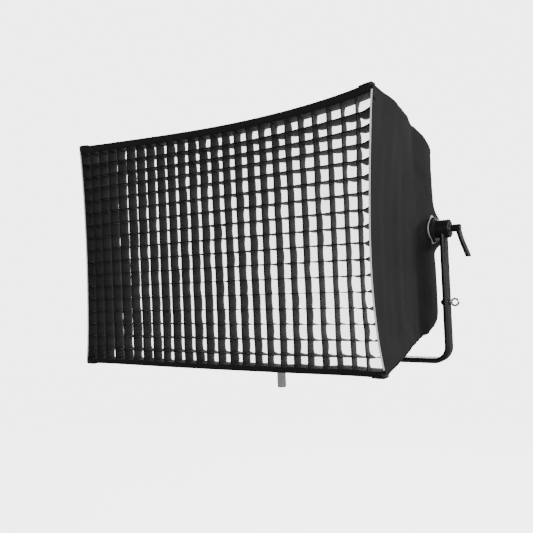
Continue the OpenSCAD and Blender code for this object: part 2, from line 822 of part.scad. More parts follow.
yoke_tube();
hub_right();
hub_left();
friction_disc_right();
friction_disc_left();
hub_cap_left();
spigot();
spigot_bolt();
spigot_plate_screws();
eye_bolt();
eye_bolt_nuts();
clamp_stud();
lever_screw();
lever_spring();
tilt_lever();
pivot_shaft_right();
pivot_shaft_left();
pivot_screws();
casing();
front_bezel();
lamp_window();
led_board();
heat_sink();
driver_box();
rear_cover();
rear_cover_screws();
control_panel();
display_window();
brightness_knob();
colour_knob();
menu_button();
mode_button();
back_button();
power_switch();
power_inlet();
data_sockets();
handle_right();
handle_left();
mount_ring();
rod_sockets();
spreader_rods();
corner_caps();
panel_right();
panel_left();
panel_top();
panel_bottom();
front_hem();
front_diffuser();
edge_piping();
rear_skirt();
skirt_elastic();
grid_rim();
grid_uprights();
grid_levels();
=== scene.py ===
"""A rectangular softbox with a fabric grid, on a panel light in a tilting yoke, around its CAD frame."""

import json
import math
import random

import bpy
from mathutils import Matrix, Vector, noise


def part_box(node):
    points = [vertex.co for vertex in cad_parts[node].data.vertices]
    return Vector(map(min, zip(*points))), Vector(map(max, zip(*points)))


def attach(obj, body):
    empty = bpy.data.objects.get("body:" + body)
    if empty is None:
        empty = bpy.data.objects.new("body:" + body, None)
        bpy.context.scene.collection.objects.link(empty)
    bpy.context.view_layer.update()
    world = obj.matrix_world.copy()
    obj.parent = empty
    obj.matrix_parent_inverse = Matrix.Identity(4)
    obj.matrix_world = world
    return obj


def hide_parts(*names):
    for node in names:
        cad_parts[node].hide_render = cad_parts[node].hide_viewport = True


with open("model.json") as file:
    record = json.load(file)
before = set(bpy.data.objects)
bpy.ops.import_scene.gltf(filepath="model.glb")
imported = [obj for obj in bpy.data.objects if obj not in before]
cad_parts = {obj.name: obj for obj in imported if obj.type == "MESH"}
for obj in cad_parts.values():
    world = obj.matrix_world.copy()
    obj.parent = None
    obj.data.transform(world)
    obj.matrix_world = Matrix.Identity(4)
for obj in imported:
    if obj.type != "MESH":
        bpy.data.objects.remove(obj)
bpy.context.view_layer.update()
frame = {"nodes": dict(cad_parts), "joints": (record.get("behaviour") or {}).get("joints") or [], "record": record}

# ---- Places and sizes read from the frame ----

MM = 0.001
JOINTS = {j["name"]: j for j in frame["joints"]}
TILT_Z = JOINTS["head_tilt"]["pos_m"][2]
FRONT_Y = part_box("panel_right")[0].y
FRONT_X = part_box("panel_right")[1].x
FRONT_H = (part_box("panel_top")[1].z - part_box("panel_bottom")[0].z) / 2
HEAD_Z = (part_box("panel_top")[1].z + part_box("panel_bottom")[0].z) / 2
LAMP_Z = (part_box("casing")[1].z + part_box("casing")[0].z) / 2
LAMP_RISE = LAMP_Z - HEAD_Z
RING_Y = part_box("mount_ring")[1].y - 10 * MM
REAR_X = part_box("mount_ring")[1].x + 2.5 * MM
REAR_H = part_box("mount_ring")[1].z - LAMP_Z + 2.5 * MM
SKIRT_BACK_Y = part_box("rear_skirt")[1].y
OPEN_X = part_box("skirt_elastic")[1].x
OPEN_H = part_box("skirt_elastic")[1].z - LAMP_Z
GRID_FRONT_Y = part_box("grid_rim")[0].y
STRIP_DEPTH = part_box("grid_uprights")[1].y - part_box("grid_uprights")[0].y
DIFFUSER_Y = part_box("front_diffuser")[0].y

# ---- The grid's layout, the width of its border round the cells, and the bands sewn round the front ----

COLUMNS = 25
ROWS = 17
BORDER_TOP = 20 * MM
BORDER_BOTTOM = 5 * MM
BORDER_SIDE = 2.5 * MM
BOTTOM_FLAP = 8 * MM
GRID_HALF_W = FRONT_X - BORDER_SIDE
GRID_HALF_H = FRONT_H - (BORDER_TOP + BORDER_BOTTOM) / 2
GRID_MID_Z = (BORDER_BOTTOM - BORDER_TOP) / 2

# ---- How far each front edge of the cloth is pulled in between its corners ----

BOW_TOP = 24 * MM
BOW_TOP_LEAN = 0.6
BOW_BOTTOM = -3 * MM
BOW_RIGHT = 20.5 * MM
BOW_RIGHT_LEAN = 0.5
BOW_LEFT = 13 * MM
CORNER_POKE = 4 * MM

# ---- Shape of the side cloth: corner rounding, and how far the bent rods push the seams out ----

EDGE_R = 9 * MM
ROD_BOW = 11 * MM

# ---- Steps of the softbox's rows: along its long and short sides, and round each corner ----

LONG_STEPS = 110
SHORT_STEPS = 78
CORNER_STEPS = 7

rng = random.Random(7)


def smooth(t):
    t = min(1.0, max(0.0, t))
    return t * t * (3 - 2 * t)


def wobble(x, y, z=0.0):
    """A repeatable smooth value from -1 to 1."""
    return noise.noise(Vector((x, y, z)))


# ---- Camera ----


def make_camera():
    """The viewpoint, given from the centre of the softbox's front opening."""
    azimuth, elevation, roll = math.radians(32.54), math.radians(-1.28), math.radians(-2.44)
    place = Vector((1.0735, -1.3827, -0.110)) + Vector((0, FRONT_Y, HEAD_Z))
    back = Vector((math.sin(azimuth) * math.cos(elevation), -math.cos(azimuth) * math.cos(elevation),
                   math.sin(elevation)))
    level = Vector((math.cos(azimuth), math.sin(azimuth), 0))
    up = back.cross(level)
    across = level * math.cos(roll) + up * math.sin(roll)
    upright = up * math.cos(roll) - level * math.sin(roll)
    data = bpy.data.cameras.new("camera")
    data.sensor_width = 36
    data.lens = 41.88
    data.clip_start, data.clip_end = 0.05, 60
    cam = bpy.data.objects.new("camera", data)
    bpy.context.scene.collection.objects.link(cam)
    turn = Matrix((across, upright, back)).transposed().to_4x4()
    cam.matrix_world = Matrix.Translation(place) @ turn
    bpy.context.scene.camera = cam


# ---- Materials ----


class Shader:
    """A principled material with short ways to add texture nodes."""

    def __init__(self, name, color, roughness, metallic=0.0, **sockets):
        self.mat = bpy.data.materials.new(name)
        self.mat.use_nodes = True
        self.nodes, self.links = self.mat.node_tree.nodes, self.mat.node_tree.links
        self.bsdf = next(n for n in self.nodes if n.type == "BSDF_PRINCIPLED")
        self.color = color
        self.bsdf.inputs["Base Color"].default_value = (*color, 1)
        self.bsdf.inputs["Roughness"].default_value = roughness
        self.bsdf.inputs["Metallic"].default_value = metallic
        for socket, value in sockets.items():
            self.bsdf.inputs[socket.replace("_", " ")].default_value = value
        self.height = None

    def node(self, kind, **values):
        made = self.nodes.new(kind)
        for name, value in values.items():
            if name in made.inputs:
                made.inputs[name].default_value = value
            else:
                setattr(made, name, value)
        return made

    def coords(self, kind="Object", scale=(1, 1, 1)):
        where = self.node("ShaderNodeTexCoord")
        mapping = self.node("ShaderNodeMapping", Scale=scale)
        self.links.new(where.outputs[kind], mapping.inputs["Vector"])
        return mapping.outputs["Vector"]

    def noise(self, scale, detail=4.0, kind="Object", stretch=(1, 1, 1)):
        made = self.node("ShaderNodeTexNoise", Scale=scale, Detail=detail)
        self.links.new(self.coords(kind, stretch), made.inputs["Vector"])
        return made.outputs["Fac"]

    def wave(self, pitch, direction, kind="UV"):
        """Threads that repeat every pitch metres."""
        made = self.node("ShaderNodeTexWave", bands_direction=direction)
        made.inputs["Scale"].default_value = 2 * math.pi / 20 / pitch
        self.links.new(self.coords(kind), made.inputs["Vector"])
        return made.outputs["Fac"]

    def math(self, operation, a, b):
        made = self.node("ShaderNodeMath", operation=operation)
        for socket, value in zip(made.inputs, (a, b)):
            if isinstance(value, (int, float)):
                socket.default_value = value
            else:
                self.links.new(value, socket)
        return made.outputs[0]

    def range(self, value, low, high, start=0.3, end=0.7):
        made = self.node("ShaderNodeMapRange")
        self.links.new(value, made.inputs["Value"])
        for name, number in (("From Min", start), ("From Max", end), ("To Min", low), ("To Max", high)):
            made.inputs[name].default_value = number
        return made.outputs["Result"]

    def tint(self, factor, other, start=0.35, end=0.65):
        """The base colour goes over to another one with factor."""
        ramp = self.node("ShaderNodeValToRGB")
        ramp.color_ramp.elements[0].position = start
        ramp.color_ramp.elements[1].position = end
        ramp.color_ramp.elements[0].color = (*self.color, 1)
        ramp.color_ramp.elements[1].color = (*other, 1)
        self.links.new(factor, ramp.inputs["Fac"])
        self.links.new(ramp.outputs["Color"], self.bsdf.inputs["Base Color"])
        return self

    def rough(self, factor, low, high):
        self.links.new(self.range(factor, low, high), self.bsdf.inputs["Roughness"])
        return self

    def bump(self, height, distance, strength=1.0):
        made = self.node("ShaderNodeBump", Strength=strength, Distance=distance)
        self.links.new(height, made.inputs["Height"])
        if self.height is not None:
            self.links.new(self.height, made.inputs["Normal"])
        self.height = made.outputs["Normal"]
        self.links.new(self.height, self.bsdf.inputs["Normal"])
        return self


def woven(name, color, lighter, pitch, roughness=0.8, sheen=0.03, thread=0.0002):
    """A plain-woven cloth: two sets of threads, faint slubs and uneven dye."""
    s = Shader(name, color, roughness, Sheen_Weight=sheen, Sheen_Roughness=0.45)
    s.bsdf.inputs["Specular IOR Level"].default_value = 0.35
    s.tint(s.math("MULTIPLY", s.noise(9, 5), s.noise(260, 2)), lighter, 0.15, 0.42)
    weave = s.math("MAXIMUM", s.wave(pitch, "X"), s.wave(pitch, "Y"))
    s.bump(weave, thread, 0.5)
    s.bump(s.noise(38, 5), 0.0012, 0.35)
    return s.mat


def powder_coat(name, color, lighter):
    s = Shader(name, color, 0.34, Coat_Weight=0.15, Coat_Roughness=0.25)
    s.tint(s.noise(14, 6), lighter)
    s.rough(s.noise(60, 3), 0.34, 0.5)
    s.bump(s.noise(900, 2), 0.00012, 0.6)
    return s.mat


def moulded(name, color, lighter, roughness, grain=1200, depth=0.00008):
    s = Shader(name, color, roughness)
    s.tint(s.noise(25, 5), lighter)
    s.rough(s.noise(80, 4), roughness - 0.06, roughness + 0.08)
    s.bump(s.noise(grain, 2), depth, 0.5)
    return s.mat


def metal(name, color, darker, roughness, brushed=(1, 1, 1)):
    s = Shader(name, color, roughness, 1.0)
    s.tint(s.noise(30, 6), darker, 0.4, 0.8)
    s.rough(s.noise(120, 4, stretch=brushed), max(0.03, roughness - 0.07), roughness + 0.1)
    s.bump(s.noise(500, 3, stretch=brushed), 0.00003, 0.4)
    return s.mat


def glowing_cloth():
    """The diffusion cloth, lit from behind: its glow a little uneven across it, with its weave."""
    s = Shader("white_cloth", (0.93, 0.93, 0.92), 0.8, Sheen_Weight=0.1)
    s.bsdf.inputs["Emission Color"].default_value = (1, 0.995, 0.985, 1)
    s.tint(s.noise(5, 4), (0.88, 0.88, 0.88))
    weave = s.math("MAXIMUM", s.wave(0.0008, "X"), s.wave(0.0008, "Y"))
    glow = s.math("ADD", s.range(s.noise(3, 2), 2.3, 2.8), s.range(weave, 0.0, 0.2, 0.0, 1.0))
    s.links.new(glow, s.bsdf.inputs["Emission Strength"])
    s.bump(weave, 0.00015, 0.4)
    return s.mat


def silver_lining():
    s = Shader("silver_lining", (0.62, 0.63, 0.65), 0.38, 0.7)
    s.tint(s.noise(40, 5), (0.5, 0.51, 0.53))
    s.bump(s.noise(70, 6), 0.0015, 0.5)
    return s.mat


def circuit_board():
    s = Shader("circuit_board", (0.85, 0.85, 0.8), 0.45)
    s.tint(s.wave(0.048, "X", "Object"), (0.78, 0.72, 0.45), 0.8, 0.95)
    s.bump(s.noise(800, 2), 0.00005, 0.5)
    return s.mat


def elastic_webbing():
    s = Shader("elastic_band", (0.02, 0.02, 0.022), 0.8, Sheen_Weight=0.3)
    s.tint(s.noise(60, 4), (0.05, 0.05, 0.054))
    s.bump(s.wave(0.0032, "X"), 0.0008, 0.8)
    s.bump(s.wave(0.0011, "Y"), 0.0003, 0.6)
    return s.mat


def bound_cord():
    """White piping: cord under a bias-cut binding."""
    s = Shader("white_piping", (0.94, 0.94, 0.94), 0.7, Sheen_Weight=0.2)
    s.tint(s.noise(80, 4), (0.86, 0.86, 0.86))
    s.bump(s.wave(0.002, "DIAGONAL"), 0.0002, 0.6)
    return s.mat


def make_materials():
    black, soft_black = (0.017, 0.017, 0.0185), (0.042, 0.042, 0.045)
    made = {
        "black_cloth": woven("black_cloth", (0.0105, 0.0105, 0.011), (0.021, 0.021, 0.022), 0.0009),
        "grid_cloth": woven("grid_cloth", (0.003, 0.003, 0.0033), (0.007, 0.007, 0.0075), 0.0011,
                            0.8, 0.02),
        "white_cloth": glowing_cloth(),
        "white_piping": bound_cord(),
        "silver_lining": silver_lining(),
        "elastic_band": elastic_webbing(),
        "yoke_paint": powder_coat("yoke_paint", (0.004, 0.004, 0.0043), (0.007, 0.007, 0.0075)),
        "casing_paint": powder_coat("casing_paint", (0.016, 0.016, 0.0175), (0.026, 0.026, 0.028)),
        "black_plastic": moulded("black_plastic", black, soft_black, 0.5),
        "lever_black": moulded("lever_black", (0.006, 0.006, 0.0065), (0.012, 0.012, 0.013), 0.36),
        "panel_plastic": moulded("panel_plastic", (0.035, 0.035, 0.038), (0.05, 0.05, 0.053), 0.5),
        "button_grey": moulded("button_grey", (0.11, 0.11, 0.115), (0.15, 0.15, 0.155), 0.42),
        "switch_red": moulded("switch_red", (0.45, 0.025, 0.02), (0.55, 0.04, 0.03), 0.3, 300),
        "knob_rubber": moulded("knob_rubber", black, (0.035, 0.035, 0.037), 0.68, 700, 0.00015),
        "friction_lining": moulded("friction_lining", (0.035, 0.034, 0.033), (0.06, 0.058, 0.056),
                                   0.85, 350, 0.0003),
        "opal_window": moulded("opal_window", (0.90, 0.90, 0.87), (0.84, 0.84, 0.80), 0.3),
        "circuit_board": circuit_board(),
        "display_glass": moulded("display_glass", (0.012, 0.016, 0.024), (0.02, 0.026, 0.036),
                                 0.12, 40, 0.00002),
        "rod_fibre": moulded("rod_fibre", black, soft_black, 0.3, 90, 0.0001),
        "chrome_steel": metal("chrome_steel", (0.82, 0.83, 0.85), (0.6, 0.61, 0.63), 0.1),
        "bright_steel": metal("bright_steel", (0.66, 0.67, 0.69), (0.5, 0.5, 0.52), 0.24, (1, 1, 12)),
        "zinc_steel": metal("zinc_steel", (0.56, 0.57, 0.6), (0.42, 0.43, 0.44), 0.3),
        "blackened_steel": metal("blackened_steel", (0.035, 0.035, 0.037), (0.09, 0.09, 0.09), 0.4),
        "bare_aluminium": metal("bare_aluminium", (0.7, 0.71, 0.73), (0.55, 0.56, 0.58), 0.35, (1, 1, 10)),
        "black_anodised": metal("black_anodised", (0.05, 0.05, 0.055), (0.03, 0.03, 0.032),
                                0.36, (8, 1, 1)),
    }
    return made


# ---- Mesh helpers ----


def piece(name, rows, body, slot, closed=False, flip=False, materials=None):
    """A sheet through rows of points, with its arc lengths in metres as UV. flip turns its face round."""
    n = len(rows[0])
    mesh = bpy.data.meshes.new(name)
    faces, corners = [], []
    for i in range(len(rows) - 1):
        for j in range(n if closed else n - 1):
            k = (j + 1) % n
            quad = ((i, j, j), (i, k, j + 1), (i + 1, k, j + 1), (i + 1, j, j))
            if flip:
                quad = quad[::-1]
            faces.append([r * n + c for r, c, _ in quad])
            corners.append([(r, u) for r, _, u in quad])
    mesh.from_pydata([tuple(p) for row in rows for p in row], [], faces)
    layer = mesh.uv_layers.new(name="UVMap")
    across = [0.0]
    middle = rows[len(rows) // 2]
    for j in range(n):
        across.append(across[-1] + (Vector(middle[(j + 1) % n]) - Vector(middle[j])).length)
    down = [0.0]
    for i in range(len(rows) - 1):
        down.append(down[-1] + (Vector(rows[i + 1][0]) - Vector(rows[i][0])).length)
    flat = []
    for face in corners:
        for i, j in face:
            flat.extend((across[j], down[i]))
    layer.data.foreach_set("uv", flat)
    return finish_piece(mesh, name, body, slot, materials)


def finish_piece(mesh, name, body, slot, materials=None, smooth_shade=True):
    for material in materials or [MATERIALS[slot]]:
        mesh.materials.append(material)
    if smooth_shade:
        mesh.polygons.foreach_set("use_smooth", [True] * len(mesh.polygons))
    mesh.update()
    obj = bpy.data.objects.new(name, mesh)
    bpy.context.scene.collection.objects.link(obj)
    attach(obj, body)
    return obj


def thicken(obj, thickness, offset=-1.0, inner_material=None):
    solid = obj.modifiers.new("thickness", "SOLIDIFY")
    solid.thickness = thickness
    solid.offset = offset
    solid.use_even_offset = False
    if inner_material is not None:
        solid.material_offset = inner_material
    return obj


def tube_rows(points, radius, sides=8, closed=False):
    """Rings round a line of points, as rows for piece()."""
    pts = [Vector(p) for p in points]
    n = len(pts)
    side = None
    rows = []
    for i, p in enumerate(pts):
        if closed:
            ahead, behind = pts[(i + 1) % n], pts[i - 1]
        else:
            ahead, behind = pts[min(i + 1, n - 1)], pts[max(i - 1, 0)]
        along = (ahead - behind).normalized()
        if side is None:
            side = along.orthogonal().normalized()
        side = (side - along * side.dot(along)).normalized()
        other = along.cross(side)
        r = radius(i / (n - 1)) if callable(radius) else radius
        angles = (2 * math.pi * k / sides for k in range(sides))
        rows.append([p + side * (r * math.cos(a)) + other * (r * math.sin(a)) for a in angles])
    if closed:
        rows.append(rows[0])
    return rows


def capped_tube(points, radius, sides=8):
    """Tube rows with a small rounded end on each side."""
    rows = tube_rows(points, radius, sides)
    ends = []
    for row in (rows[0], rows[-1]):
        middle = sum(row, Vector()) / len(row)
        ends.append([middle.copy() for _ in row])
    return [ends[0], *rows, ends[1]]


# ---- The shape of the cloth ----


def front_shift(x, z):
    """How far a point of the front plane, measured from its centre, is pulled in by the cloth's tension."""
    u = max(-1.0, min(1.0, x / FRONT_X))
    w = max(-1.0, min(1.0, z / FRONT_H))
    dx = side_bow(u, w) * u ** 10
    dz = level_bow(u, w) * smooth((abs(w) - 0.45) / 0.55)
    poke = CORNER_POKE * (u * w) ** 10
    return dx + math.copysign(poke, u), dz + math.copysign(poke, w)


def side_bow(u, w):
    """The bow of the right or left edge at the share w of its half height. The right one bows most below."""
    if u > 0:
        return -BOW_RIGHT * (1 - w * w) * (1 - BOW_RIGHT_LEAN * w)
    return BOW_LEFT * (1 - w * w)


def level_bow(u, w):
    """The bow of the top or bottom edge at the share u of its half width. The top sags most on the right."""
    if w > 0:
        return -BOW_TOP * (1 - u * u) * (1 + BOW_TOP_LEAN * u)
    return BOW_BOTTOM * (1 - u * u)


def rounded_loop(half_w, half_h, radius, n_long=LONG_STEPS, n_short=SHORT_STEPS, n_corner=CORNER_STEPS):
    """Points (x, z, nx, nz) round a rectangle with round corners, from the upper right one over the top."""
    out = []
    corners = ((1, 1, 0), (-1, 1, 90), (-1, -1, 180), (1, -1, 270))
    for k, (sx, sz, start) in enumerate(corners):
        cx, cz = sx * (half_w - radius), sz * (half_h - radius)
        for i in range(n_corner + 1):
            a = math.radians(start + 90 * i / n_corner)
            out.append((cx + radius * math.cos(a), cz + radius * math.sin(a), math.cos(a), math.sin(a)))
        level = k in (0, 2)
        steps = n_long if level else n_short
        for i in range(1, steps):
            t = i / steps
            if level:
                out.append(((1 - 2 * t) * sx * (half_w - radius), sz * half_h, 0, sz))
            else:
                out.append((sx * half_w, (1 - 2 * t) * sz * (half_h - radius), sx, 0))
    return out


def box_rows():
    """The softbox's outer surface, from the front edge back over the mount ring. The rods bow it out."""
    depth_steps = 36
    rows = []
    for i in range(depth_steps + 1):
        t = i / depth_steps
        y = FRONT_Y + (RING_Y - FRONT_Y) * t
        half_w = FRONT_X + (REAR_X - FRONT_X) * t
        half_h = FRONT_H + (REAR_H - FRONT_H) * t
        pull = (1 - t) ** 1.25 + 0.28 * math.sin(math.pi * t)
        rods = ROD_BOW * math.sin(math.pi * t ** 1.5)
        row = []
        for x, z, nx, nz in rounded_loop(half_w, half_h, EDGE_R):
            dx, dz = edge_bow(x / half_w, z / half_h)
            off = box_folds(x, z, nx, nz, t)
            at_corner = (x / half_w) ** 4 * (z / half_h) ** 4
            lift = rods * (0.35 + 0.65 * at_corner) * smooth(z / half_h + 0.6)
            p = Vector((x + dx * pull + nx * off + lift * nx, y,
                        HEAD_Z + LAMP_RISE * t + z + dz * pull + nz * off + lift * nz))
            if abs(nx) > 0.5:
                p.x += math.copysign(hub_bulge(p), x)
            row.append(p)
        rows.append(row)
    return rows


def hub_bulge(p):
    """How far the cloth of a side stands out over the tilt shaft's flange, at the point p."""
    dz = p.z - TILT_Z
    if dz > 0:
        reach = 0.052 + 0.023 * smooth((0.022 - p.y) / 0.03)
        height = math.exp(-((dz / reach) ** 2))
    else:
        height = smooth((dz + 0.066) / 0.040)
    fore = smooth((p.y + 0.085) / 0.11)
    aft = smooth((SKIRT_BACK_Y - p.y) / 0.045)
    return 29 * MM * height * fore * aft


def edge_bow(u, w):
    """The inward bow of the box's edges, for a point at the shares u and w of its half width and height."""
    side = abs(u) ** 10 * side_bow(u, max(-1.0, min(1.0, w)))
    level = abs(w) ** 10 * level_bow(max(-1.0, min(1.0, u)), w)
    poke = CORNER_POKE * min(1.0, abs(u * w)) ** 10
    return side + math.copysign(poke, u), level + math.copysign(poke, w)


def box_folds(x, z, nx, nz, t):
    """Shallow folds in the panels: a few along the front edge's direction, and fans out of the corners."""
    side = abs(nx) > 0.5
    along = z if side else x
    half = FRONT_H if side else FRONT_X
    edge = 1 - min(1.0, abs(along) / half) ** 6
    held = math.sin(math.pi * t) ** 0.7
    lean = 0.5 * wobble(along * 2.2, 3 * nx + 5 * nz, 1.7) + 0.22 * along / half
    folds = 1.9 * math.sin(2 * math.pi * (2.6 * t + lean))
    folds += 1.2 * math.sin(2 * math.pi * (5.3 * t - 1.6 * lean))
    folds += 1.6 * wobble(along * 6, t * 5, nx + 2 * nz)
    to_corner = half - abs(along)
    angle = math.atan2(to_corner, max(0.001, (1 - t) * 0.35))
    fan = 1.6 * math.sin(angle * 14) * math.exp(-((to_corner / 0.16) ** 2)) * smooth(to_corner / 0.03)
    return (folds * edge * held + fan * held) * MM


# ---- Softbox cloth ----


def make_softbox():
    rows = box_rows()
    cloth = piece("softbox_cloth", rows, "head", "black_cloth", closed=True, flip=True,
                  materials=[MATERIALS["black_cloth"], MATERIALS["silver_lining"]])
    thicken(cloth, 0.9 * MM, -1.0, 1)
    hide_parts("panel_right", "panel_left", "panel_top", "panel_bottom")
    make_seams(rows)
    make_piping(rows[0])
    make_corner_pockets(rows[0])


def side_of(row, sx):
    """The points of the right (1) or left (-1) side of a loop, from the bottom up, corners excluded."""
    chosen = [p for p in row if p.x * sx > 0.9 * REAR_X and abs(p.z - HEAD_Z) < FRONT_H - 13 * MM]
    return sorted(chosen, key=lambda p: p.z)


def corner_start(k):
    """The index in a row of the softbox where its corner k starts."""
    return sum(CORNER_STEPS + (LONG_STEPS if c in (0, 2) else SHORT_STEPS) for c in range(k))


def make_piping(front):
    """A white bound cord along each upright front edge."""
    r = 2.1 * MM
    for name, sx in (("right", 1), ("left", -1)):
        line = [p + Vector((-sx * 0.4 * MM, -r * 0.9, 0)) for p in side_of(front, sx)]
        pipe = piece(f"edge_piping_{name}", capped_tube(line, r, 10), "head", "white_piping", closed=True)
        if sx == 1:
            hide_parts("edge_piping")


def make_seams(rows):
    """The sleeves sewn over the four corner rods: a narrow raised binding along each seam."""
    n = len(rows[0])
    half_w = 6 * MM
    lift = 1.1 * MM
    for k in range(4):
        c = corner_start(k) + (CORNER_STEPS + 1) // 2
        bind = []
        for row in rows[1:]:
            middle = (row[c % n] + row[(c - 1) % n]) / 2
            out = (middle - Vector((0, middle.y, HEAD_Z))).normalized()
            a, b = row[(c - 5) % n], row[(c + 4) % n]
            across = (b - a).normalized()
            bind.append([middle + across * (half_w * s) + out * (lift - 2.2 * MM * abs(s) ** 2)
                         for s in (-1, -0.6, 0, 0.6, 1)])
        strip = piece(f"rod_sleeve_{k + 1}", bind, "head", "black_cloth", flip=True)
        thicken(strip, 0.8 * MM)


def make_corner_pockets(front):
    """Reinforced pockets over the rod ends, folded round each front corner, with the rod's cap inside."""
    reach = 26 * MM
    for k, (sx, sz) in enumerate(((1, 1), (-1, 1), (-1, -1), (1, -1))):
        ring = [front[(corner_start(k) + i) % len(front)] for i in range(-3, 11)]
        patch = []
        for step in range(9):
            t = step / 8
            lift = (2.4 - 1.2 * t + 0.5 * math.sin(math.pi * t)) * MM
            taper = Vector((-sx * (FRONT_X - REAR_X), 0, -sz * (FRONT_H - REAR_H))) * (reach * t / 0.35)
            line = []
            for p in ring:
                at_side = abs(p.x) > FRONT_X - 12 * MM
                at_level = abs(p.z - HEAD_Z) > FRONT_H - 12 * MM
                q = p + Vector((sx * at_side, 0, sz * at_level)).normalized() * lift + taper
                q.y = FRONT_Y - 1.5 * MM + reach * t
                line.append(q)
            patch.append(line)
        pocket = piece(f"corner_pocket_{k + 1}", patch, "head", "black_cloth", flip=True)
        thicken(pocket, 1.6 * MM, -1.0)
        cap = rod_cap(f"rod_cap_{k + 1}", sx, sz)
        if k == 0:
            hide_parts("corner_caps")


def rod_cap(name, sx, sz):
    """A small domed plastic cap that presses the pocket forward."""
    inset = 5.5 * MM - CORNER_POKE
    centre = Vector((sx * (FRONT_X - inset), FRONT_Y, HEAD_Z + sz * (FRONT_H - inset)))
    profile = ((0.0, -4.2), (2.6, -4.0), (4.6, -3.0), (5.6, -1.2), (5.9, 1.0), (5.9, 14.0), (3.2, 15.0))
    rows = [[centre + Vector((r * MM * math.cos(a), y * MM, r * MM * math.sin(a)))
             for a in (2 * math.pi * i / 20 for i in range(20))] for r, y in profile]
    return piece(name, rows, "head", "black_plastic", closed=True, flip=True)


# ---- Grid ----

# The border's section: the share of the way in from the outer edge, and the depth behind the face in mm.
BORDER_SECTION = ((0.0, 2.0), (0.0, 0.2), (0.12, -0.4), (0.5, -0.2), (0.88, -0.4), (1.0, 0.4), (1.0, 3.0),
                  (1.0, 9.0), (1.0, 16.0), (1.0, 23.0), (1.0, 30.0), (1.0, 36.0))


def warped(x, y, z):
    dx, dz = front_shift(x, z)
    return Vector((x + dx, y, HEAD_Z + z + dz))


def make_grid_rim():
    """The grid's sewn border: a flat band inside the front edge, folded back along the outer cells."""
    n_long, n_short = 100, 68
    outer = rounded_loop(FRONT_X - 1.5 * MM, FRONT_H - 1.5 * MM, 8 * MM, n_long, n_short, 4)
    inner = rounded_loop(GRID_HALF_W, GRID_HALF_H, 2 * MM, n_long, n_short, 4)
    rows = []
    for share, y in BORDER_SECTION:
        row = []
        for (x0, z0, _, _), (x1, z1, nx, nz) in zip(outer, inner):
            if nz < -0.5:
                z1 += BOTTOM_FLAP * (1 + 0.3 * wobble(x1 * 12, 2.5))
            z1 += GRID_MID_Z
            p = warped(x0 + (x1 - x0) * share, GRID_FRONT_Y + y * MM, z0 + (z1 - z0) * share)
            if y > 5:
                sway = 2.4 * MM * wobble(p.x * 14, p.z * 14, 4.1) * smooth((y - 5) / 25)
                p -= Vector((nx, 0, nz)) * (0.11 * y * MM - sway)
            p.y += 0.5 * MM * wobble(p.x * 20, p.z * 20, 9.3)
            row.append(p)
        rows.append(row)
    rim = piece("grid_border", rows, "grid", "grid_cloth", closed=True)
    thicken(rim, 1.2 * MM, 1.0)
    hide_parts("grid_rim")


class Strips:
    """One family of the grid's strips: count strips, each crossing the others at even steps of pitch."""

    def __init__(self, upright):
        self.upright = upright
        across, along = (GRID_HALF_W, GRID_HALF_H) if upright else (GRID_HALF_H, GRID_HALF_W)
        self.count, self.crossings = (COLUMNS, ROWS) if upright else (ROWS, COLUMNS)
        self.half_across, self.half_along = across, along
        self.pitch = 2 * across / self.count
        self.step = 2 * along / self.crossings

    def point(self, base, along, d, bulge, phase):
        """A point of the strip at base, with the share d of its depth. The strip bulges between crossings."""
        near_end = smooth((abs(along) / self.half_along - 0.8) * 5)
        near_side = smooth((abs(base) / self.half_across - 0.75) * 4)
        lean = 6 * MM * (base / self.half_across) ** 3 * d
        drift = MM * wobble(along * 5, base * 7, d * 0.8 + (3 if self.upright else 8))
        along *= 1 - 4 * MM * d / self.half_along
        y = GRID_FRONT_Y + 0.6 * MM + (STRIP_DEPTH - 0.4 * MM) * d
        y += 0.9 * MM * math.sin(math.pi * d) * wobble(along * 30, base * 11, 2.2)
        if self.upright:
            near_right = near_side if base > 0 else -0.5 * near_side
            off = bulge * (0.5 + 1.3 * d ** 1.5) * (1 + 0.8 * near_end + 0.6 * near_right) * phase * MM
            low = smooth((-along / self.half_along - 0.55) * 2.5)
            swing = 2.2 * MM * low * wobble(base * 9, along * 9, 5.5 + d)
            p = warped(base + off - lean + drift + swing, y, GRID_MID_Z + along)
        else:
            sag = (0.4 + 3.2 * d ** 1.3) * (1 + 1.1 * near_end + 0.5 * near_side) * phase * MM
            off = 0.6 * bulge * (0.5 + d ** 1.5) * (1 + 1.5 * near_end) * phase * MM
            last = max(0.0, abs(along) - self.half_along + self.step) / self.step
            rise = 4.5 * MM * smooth(last) - 2.0 * MM * math.sin(math.pi * last)
            p = warped(along, y, GRID_MID_Z + base + off - lean + 0.7 * drift - sag + rise * (1 - 0.3 * d))
        return p


